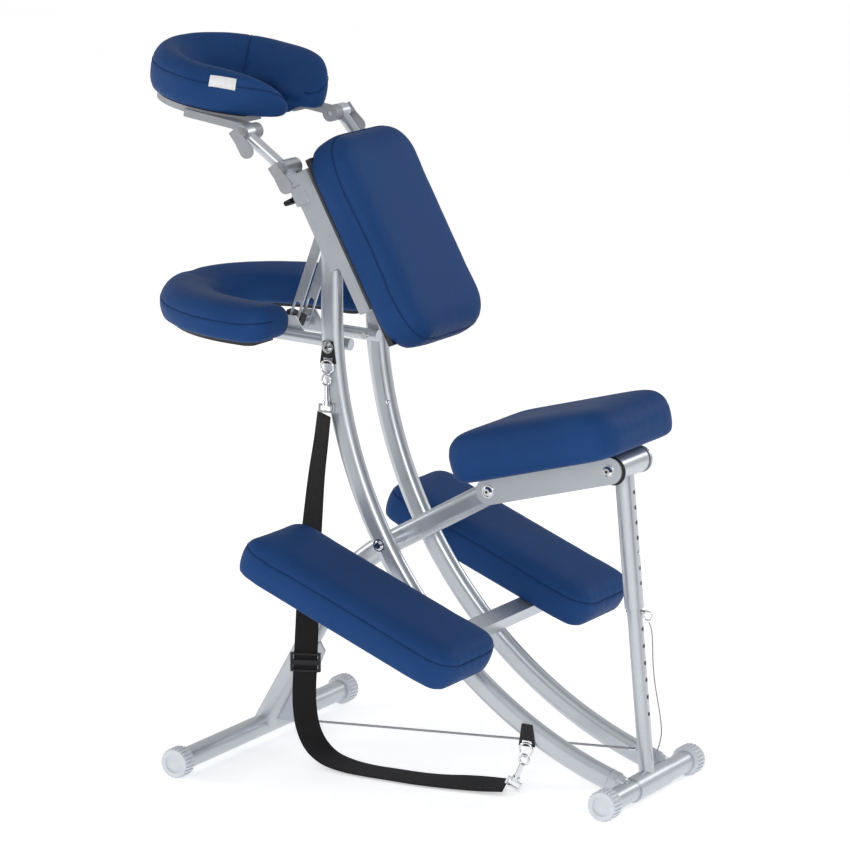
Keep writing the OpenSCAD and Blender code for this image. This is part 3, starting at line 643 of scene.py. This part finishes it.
def pad(name, node, m, body, slice_z, height, top, edge_r, inset, seam_z, floor_r=0.008,
        pressure=4.0, extra_seams=(), seam_where=None, welt=True):
    """A stuffed vinyl pad grown from its CAD solid: outline, crowned top, rolled edges, cloth run, sewn seam.

    The outline is cut at height slice_z of m's frame, and stands on the board at 0. Each extra seam is
    (tag, points, closed); one whose tag starts with crease is only pressed in, and the others get a thread.
    """
    outline = resample(max(loops_at(node, m, slice_z), key=len), WALL_STEP)
    outline -= outward(outline) * inset
    ob = blank_pad(name, outline, height)
    rim = resample(outline, RIM_STEP)
    rim_out = outward(rim)
    shape_pad(ob.data, rim, rim_out, height, top, edge_r, floor_r)
    relax(ob.data, 6)
    puff(ob, pressure)
    subdivide = ob.modifiers.new("sub", "SUBSURF")
    subdivide.levels = subdivide.render_levels = 1
    apply_modifiers(ob)
    me = ob.data
    tree = surface_tree(me)
    lines = [("welt", rim_line(rim, rim_out, seam_z, seam_where), seam_where is None), *extra_seams]
    seams = [(tag, lay_on(tree, points), closed) for tag, points, closed in lines]
    co, normals = vertex_rows(me, "co"), vertex_rows(me, "normal")
    for tag, line, closed in seams:
        if tag.startswith("crease"):
            deep, wide = CREASE_DEEP, CREASE_WIDE
        else:
            deep, wide = SEAM_DEEP if welt else PLAIN_SEAM_DEEP, SEAM_WIDE
        sink = sewn_in(co, resample(line, SEAM_STEP) if closed else line, deep, wide)
        co = co - normals * sink[:, None]
    set_coords(me, co)
    me.polygons.foreach_set("use_smooth", [True] * len(me.polygons))
    me.materials.clear()
    me.materials.append(VINYL)
    me.transform(m)
    me.update()
    finish_piece(ob, body, "vinyl_blue", node)
    for tag, line, closed in seams:
        if tag.startswith("crease") or not welt:
            continue
        path = [tuple(m @ Vector(p)) for p in (resample(line, 2 * SEAM_STEP) if closed else line)]
        thread = tube(f"{name}_{tag}", path, WELT_R, SEAM, sides=6, closed=closed)
        finish_piece(thread, body, "vinyl_blue")
    return ob


def quarter_arc(t):
    """Height of a quarter circle that climbs from 0 to 1 as t does."""
    return np.sqrt(np.clip(1 - (1 - t) ** 2, 0, 1))


def crown(rim, rise, reach):
    """Top of a plain pad: it climbs from rim at the edge by rise, over reach metres inwards."""
    return lambda x, y, d: rim + rise * quarter_arc(np.clip(d / reach, 0, 1))


pad("seat_cushion", "seat_pad", SEAT @ shift(0, 116, 23), "seat", slice_z=0.037, height=0.064,
    top=crown(0.062, 0.017, 0.07), edge_r=0.013, inset=-0.002, seam_z=0.056, welt=False)
for side, label in ((1, "left"), (-1, "right")):
    pad(f"knee_cushion_{label}", f"knee_pad_{label}", KNEES @ shift(side * KNEE_X, 0, -54), "main_frame",
        slice_z=0.029, height=0.058, top=crown(0.057, 0.008, 0.06), edge_r=0.009, inset=-0.002, seam_z=0.054,
        floor_r=0.006)
pad("chest_cushion", "chest_pad", CHEST @ shift(0, -7.5, -42) @ Matrix.Rotation(math.radians(-90), 4, "X"),
    "main_frame", slice_z=0.036, height=0.064, top=crown(0.060, 0.011, 0.09), edge_r=0.015, inset=0.0,
    seam_z=0.055, floor_r=0.007)

# ---------------------------------------------------------------- ring pads: arm rest and face cushion
RING_Y = -0.107                             # centre of both rings in their own frames
ARM_OUTER, ARM_INNER = (0.226, 0.214), (0.098, 0.135)           # half-axes in x and y
FACE_OUTER, FACE_INNER, FACE_INNER_Y, FACE_SLOT_HALF = (0.145, 0.140), (0.054, 0.066), -0.099, 0.044


def ring_share(outer, inner, inner_y, slot_half):
    """0 at the ring's outer edge and 1 at its inner edge, which behind inner_y is a straight slot."""
    def share(x, y):
        ro = np.sqrt((x / outer[0]) ** 2 + ((y - RING_Y) / outer[1]) ** 2)
        front = np.sqrt((x / inner[0]) ** 2 + ((y - inner_y) / inner[1]) ** 2)
        side = np.abs(x) / slot_half
        ri = np.where(y > inner_y, side, front)
        d_out = np.clip(1 - np.where(y > RING_Y, np.abs(x) / outer[0], ro), 0.0, 1) * outer[0]
        d_in = np.clip(ri - 1, 0.0, 9) * np.where(y > inner_y, slot_half, inner[0])
        return d_out / np.maximum(d_out + d_in, 1e-6)
    return share


def ring_top(share, rim, rise, drop, crest):
    """Top of a ring pad: it climbs from the outer rim to a crest, then falls towards the inner edge."""
    def top(x, y, d):
        s = share(x, y)
        fall = drop * np.clip((s - crest) / (1 - crest), 0, 1) ** 1.6
        return rim + rise * quarter_arc(np.clip(s / crest, 0, 1)) - fall
    return top


def on_outer_edge(x, y, outer, limit):
    return (x / outer[0]) ** 2 + ((y - RING_Y) / outer[1]) ** 2 > limit


pad("arm_cushion", "arm_pad", ARM @ shift(0, 0, 14.5), "arm_rest", slice_z=0.025, height=0.050,
    top=ring_top(ring_share(ARM_OUTER, ARM_INNER, RING_Y, ARM_INNER[0]), 0.045, 0.013, 0.016, 0.30),
    edge_r=0.016, inset=0.003, seam_z=0.036,
    seam_where=lambda x, y: on_outer_edge(x, y, ARM_OUTER, 0.66) or y > -0.02)

FACE = CRADLE @ shift(0, 0, 14)
face_share = ring_share(FACE_OUTER, FACE_INNER, FACE_INNER_Y, FACE_SLOT_HALF)
face_ring = ring_top(face_share, 0.056, 0.016, 0.046, 0.24)


def face_top(x, y, d):
    """Dished top: highest just inside the outer rim, fuller at the brow and on the far side."""
    brow = 0.006 * np.clip(-(y - RING_Y) / FACE_OUTER[1], 0, 1)
    return face_ring(x, y, d) + brow + 0.075 * np.clip(-x, 0, 1) - 0.02 * np.clip(x, 0, 1)


# The seam across the far side of the ring, and three puckers that fan out from its inner end
SEAM_X, SEAM_Y = -0.906, -0.423             # the way the seam runs, as a unit vector
SEAM_FROM, SEAM_TO, PUCKER_R = 0.146, 0.052, 0.060      # distances from the ring's centre
cross_seam = []
for t in np.linspace(0.0, 1.0, 26):
    r = SEAM_FROM + (SEAM_TO - SEAM_FROM) * t
    cross_seam.append((r * SEAM_X, RING_Y + r * SEAM_Y, 0.095 - 0.06 * t ** 2))
pucker_root = Vector((PUCKER_R * SEAM_X, RING_Y + PUCKER_R * SEAM_Y, 0.040))
puckers = []
for k, (turn, length) in enumerate(((-30, 0.030), (4, 0.024), (34, 0.034))):
    a = math.radians(turn)
    out = Vector((SEAM_X * math.cos(a) - SEAM_Y * math.sin(a), SEAM_Y * math.cos(a) + SEAM_X * math.sin(a), 0))
    line = [tuple(pucker_root + out * length * t + Vector((0, 0, 0.02 * t))) for t in np.linspace(0, 1, 9)]
    puckers.append((f"crease_{k}", line, False))
face_pad = pad("face_ring_cushion", "face_cushion", FACE, "cradle", slice_z=0.03, height=0.060, top=face_top,
               edge_r=0.012, inset=0.003, seam_z=0.050, pressure=3.0,
               extra_seams=[("cross_seam", cross_seam, False), *puckers],
               seam_where=lambda x, y: on_outer_edge(x, y, FACE_OUTER, 0.55))

# ---------------------------------------------------------------- sewn blank tag on the face cushion
TAG_W, TAG_H = 0.041, 0.0165
TAG_PROUD, TAG_SUNK = 0.0022, 0.0008        # how far its two faces stand off and under the vinyl
TAG_COLS, TAG_ROWS = 13, 7
TAG_MID = Vector((0.150, -0.052, 0.0625))   # in the face cushion's frame, like the three directions
tag_along = Vector((-0.353, 0.935, 0))
tag_out = Vector((0.80, 0.30, 0.52)).normalized()
tag_up = tag_out.cross(tag_along).normalized()
pad_tree = surface_tree(face_pad.data)
shell, under = [], []
for i in range(TAG_ROWS):
    for j in range(TAG_COLS):
        local = (TAG_MID + tag_along * TAG_W * (j / (TAG_COLS - 1) - 0.5)
                 + tag_up * TAG_H * (i / (TAG_ROWS - 1) - 0.5))
        spot, normal = pad_tree.ray_cast(FACE @ (local + tag_out * 0.03), FACE.to_3x3() @ -tag_out)[:2]
        shell.append(spot + normal * TAG_PROUD)
        under.append(spot - normal * TAG_SUNK)
quads = []
for i in range(TAG_ROWS - 1):
    for j in range(TAG_COLS - 1):
        a = i * TAG_COLS + j
        quads.append((a, a + 1, a + TAG_COLS + 1, a + TAG_COLS))
        b = a + TAG_COLS * TAG_ROWS
        quads.append((b, b + TAG_COLS, b + TAG_COLS + 1, b + 1))
border = (list(range(TAG_COLS)) + [i * TAG_COLS + TAG_COLS - 1 for i in range(1, TAG_ROWS)]
          + [(TAG_ROWS - 1) * TAG_COLS + j for j in range(TAG_COLS - 2, -1, -1)]
          + [i * TAG_COLS for i in range(TAG_ROWS - 2, 0, -1)])
for k, a in enumerate(border):
    b = border[(k + 1) % len(border)]
    quads.append((a, a + TAG_COLS * TAG_ROWS, b + TAG_COLS * TAG_ROWS, b))
finish_piece(add("blank_tag", shell + under, quads, LABEL, smooth=False), "cradle", "webbing")

# ---------------------------------------------------------------- painted socket shade, bush flange and rivet
SOCKET_R, SOCKET_DEPTH = 2.4, 0.5           # mm
BOLT_APART, BOLT_END_FLAT = 0.03, 0.0004    # ends nearer than this are one bolt's; depth of a flat end face


def middle(values):
    return (min(values) + max(values)) / 2


def facing(side):
    """Turns a piece that looks along +Z to look along +X (side 1) or -X (side -1)."""
    return Matrix.Rotation(side * math.pi / 2, 4, "Y")


def bolt_sockets(node, body, side):
    """A dark hexagon on every bolt end of a node that looks along +X (side 1) or -X (side -1): painted shade
    that stands in for the socket's recess.
    """
    points = [v.co for v in NODES[node].data.vertices]
    ends = []
    for p in sorted(points, key=lambda q: -side * q.x):
        for end in ends:
            if (p.yz - end[0].yz).length < BOLT_APART:
                if abs(p.x - end[0].x) < BOLT_END_FLAT:
                    end.append(p)
                break
        else:
            ends.append([p])
    for k, end in enumerate(ends):
        centre_of_end = Vector((end[0].x, middle([p.y for p in end]), middle([p.z for p in end])))
        # A thin dark disc just proud of the bolt end: painted shade for the socket's recess, listed under the
        # black plastic slot
        socket_shade = turned(f"{node}_socket_{'l' if side > 0 else 'r'}{k}",
                        Matrix.Translation(centre_of_end) @ facing(side),
                        [(0, -0.6), (SOCKET_R, -0.6), (SOCKET_R, SOCKET_DEPTH * 0.7),
                         (SOCKET_R * 0.8, SOCKET_DEPTH), (0, SOCKET_DEPTH)], SOCKET_SHADE_PAINT, sides=6)
        finish_piece(socket_shade, body, "black_plastic")


for node_name, body in (("frame_pivot_bolt", "main_frame"), ("seat_bolts", "seat"),
                        ("arm_pivot_bolts", "main_frame")):
    for side in (1, -1):
        bolt_sockets(node_name, body, side)

bolt_points = [v.co for v in NODES["seat_bolts"].data.vertices]
rear_y = max(p.y for p in bolt_points)
rear_z = middle([p.z for p in bolt_points if p.y > rear_y - BOLT_APART])
plate_x = max(v.co.x for v in NODES["seat_channel"].data.vertices)
flange = turned("bush_flange", Matrix.Translation((plate_x - 0.0045, rear_y - 0.004, rear_z)) @ facing(1),
                [(0, -0.8), (21.4, -0.8), (22.0, -0.2), (22.0, 0.3), (21.4, 0.8), (0, 0.8)], BLACK)
finish_piece(flange, "seat", "black_plastic")

RIVET_Y, RIVET_Z = MID_Y - 0.147, 0.563     # on the inner side of the far main tube
tube_tree = surface_tree(NODES["main_tube_right"].data)
rivet_at = tube_tree.ray_cast(Vector((0, RIVET_Y, RIVET_Z)), Vector((-1, 0, 0)))[0]
rivet = turned("tube_rivet", Matrix.Translation(rivet_at) @ facing(1),
               [(0, -1.5), (3.6, -1.5), (3.6, 0.3), (2.6, 1.2), (0, 1.6)], CHROME)
finish_piece(rivet, "main_frame", "chrome")

# ---------------------------------------------------------------- closed ends of the bowed tubes
# Each end carries its tube's oval on round the bow, into the rear foot bar
END_FROM, END_TURN = 251.4, 1.6             # degrees round the bow
END_BACK, END_DOWN = 9, 4                   # mm that the last ring is set off from the bow
END_THIN, END_NARROW = 0.22, 0.1            # how much smaller the last ring is, as shares
for side, label in ((1, "left"), (-1, "right")):
    rings = []
    for step in np.linspace(0, 1, 9):
        a = math.radians(END_FROM + END_TURN * step)
        ring = []
        for t in np.linspace(0, 2 * math.pi, 28, endpoint=False):
            out = OVAL_END * math.cos(t) + math.copysign(OVAL_HALF, math.cos(t))
            out *= 1 - END_THIN * step ** 2
            r = BEND_R + out
            y = UPRIGHT_Y + BEND_R + r * math.cos(a) + END_BACK * step ** 2
            z = BEND_Z + r * math.sin(a) - END_DOWN * step ** 2
            ring.append(point(y, z, side * TUBE_X + OVAL_END * math.sin(t) * (1 - END_NARROW * step ** 2)))
        rings.append(ring)
    finish_piece(loft(f"tube_end_{label}", rings, PAINT), "main_frame", "frame_paint")

# ---------------------------------------------------------------- webbing doubled through the slider
slider = np.array([v.co[:] for v in NODES["strap_slider"].data.vertices])
slider_mid = (slider.max(0) + slider.min(0)) / 2
main_directions = np.linalg.svd(slider - slider.mean(0), full_matrices=False)[2]
long_dir, short_dir = (Vector(d) for d in main_directions[:2])
slider_turn = Matrix((long_dir, short_dir, long_dir.cross(short_dir))).transposed().to_4x4()
doubled = block("strap_doubled", Matrix.Translation(slider_mid) @ slider_turn, (38, 34, 3.4), WEB, bevel=0.8)
finish_piece(doubled, "main_frame", "webbing")

# ---------------------------------------------------------------- floor and light
FLOOR_HALF, FLOOR_GLOW = 9, 0.42
WORLD_LIGHT, WORLD_SEEN = 0.62, 1.0         # the world's strength as a light, and as the white backdrop
FLAG_TURNS = (-52, 50)                      # degrees round from the camera
FLAG_AWAY, FLAG_HALF, FLAG_TALL = 2.3, 0.42, 2.6
WHITE = (1, 1, 1, 1)
PAPER = material("floor_paper", (0.93, 0.93, 0.935), 0.9, spread=0.01, scale=2,
                 grain=("noise", 120, 0.03, 0.0004), specular=0.1)
paper = PAPER.node_tree.nodes["Principled BSDF"]
paper.inputs["Emission Color"].default_value = WHITE
paper.inputs["Emission Strength"].default_value = FLOOR_GLOW
corners = [(x * FLOOR_HALF, y * FLOOR_HALF, 0) for x, y in ((-1, -1), (1, -1), (1, 1), (-1, 1))]
floor = add("floor", corners, [(0, 1, 2, 3)], PAPER, smooth=False)

world = bpy.data.worlds.new("studio")
bpy.context.scene.world = world
bpy.context.scene.view_settings.view_transform = "Standard"
world.use_nodes = True
backdrop = world.node_tree.nodes["Background"]
backdrop.inputs["Color"].default_value = WHITE
seen = world.node_tree.nodes.new("ShaderNodeLightPath")
level = world.node_tree.nodes.new("ShaderNodeMapRange")
level.inputs["To Min"].default_value, level.inputs["To Max"].default_value = WORLD_LIGHT, WORLD_SEEN
world.node_tree.links.new(seen.outputs["Is Camera Ray"], level.inputs["Value"])
world.node_tree.links.new(level.outputs["Result"], backdrop.inputs["Strength"])


def lamp(name, where, size, watts):
    """A round soft lamp that looks at the middle of the chair."""
    data = bpy.data.lights.new(name, "AREA")
    data.shape = "DISK"
    data.size = size
    data.energy = watts
    ob = in_scene(name, data)
    ob.location = where
    ob.rotation_euler = (LOOK - Vector(where)).to_track_quat("-Z", "Y").to_euler()


lamp("key", (3.4, 1.6, 1.5), size=1.0, watts=34)
lamp("fill", (1.2, -3.6, 1.6), size=1.2, watts=26)
lamp("rim", (-3.0, 2.0, 2.2), size=1.2, watts=22)

# Two upright black cards that only show in reflections, for the dark edges of the metal tubes
CARD = material("card_black", (0.03, 0.03, 0.03), 0.9, specular=0.0)
for k, turn in enumerate(FLAG_TURNS):
    way = Matrix.Rotation(math.radians(turn), 4, "Z") @ (cam.location - LOOK)
    way.z = 0
    way.normalize()
    half = Vector((-way.y, way.x, 0)) * FLAG_HALF
    foot = Vector((LOOK.x, LOOK.y, 0)) + way * FLAG_AWAY
    tall = Vector((0, 0, FLAG_TALL))
    card = add(f"flag_{k}", [foot - half, foot + half, foot + half + tall, foot - half + tall], [(0, 1, 2, 3)],
               CARD, smooth=False)
    card.visible_camera = card.visible_diffuse = card.visible_shadow = card.visible_transmission = False
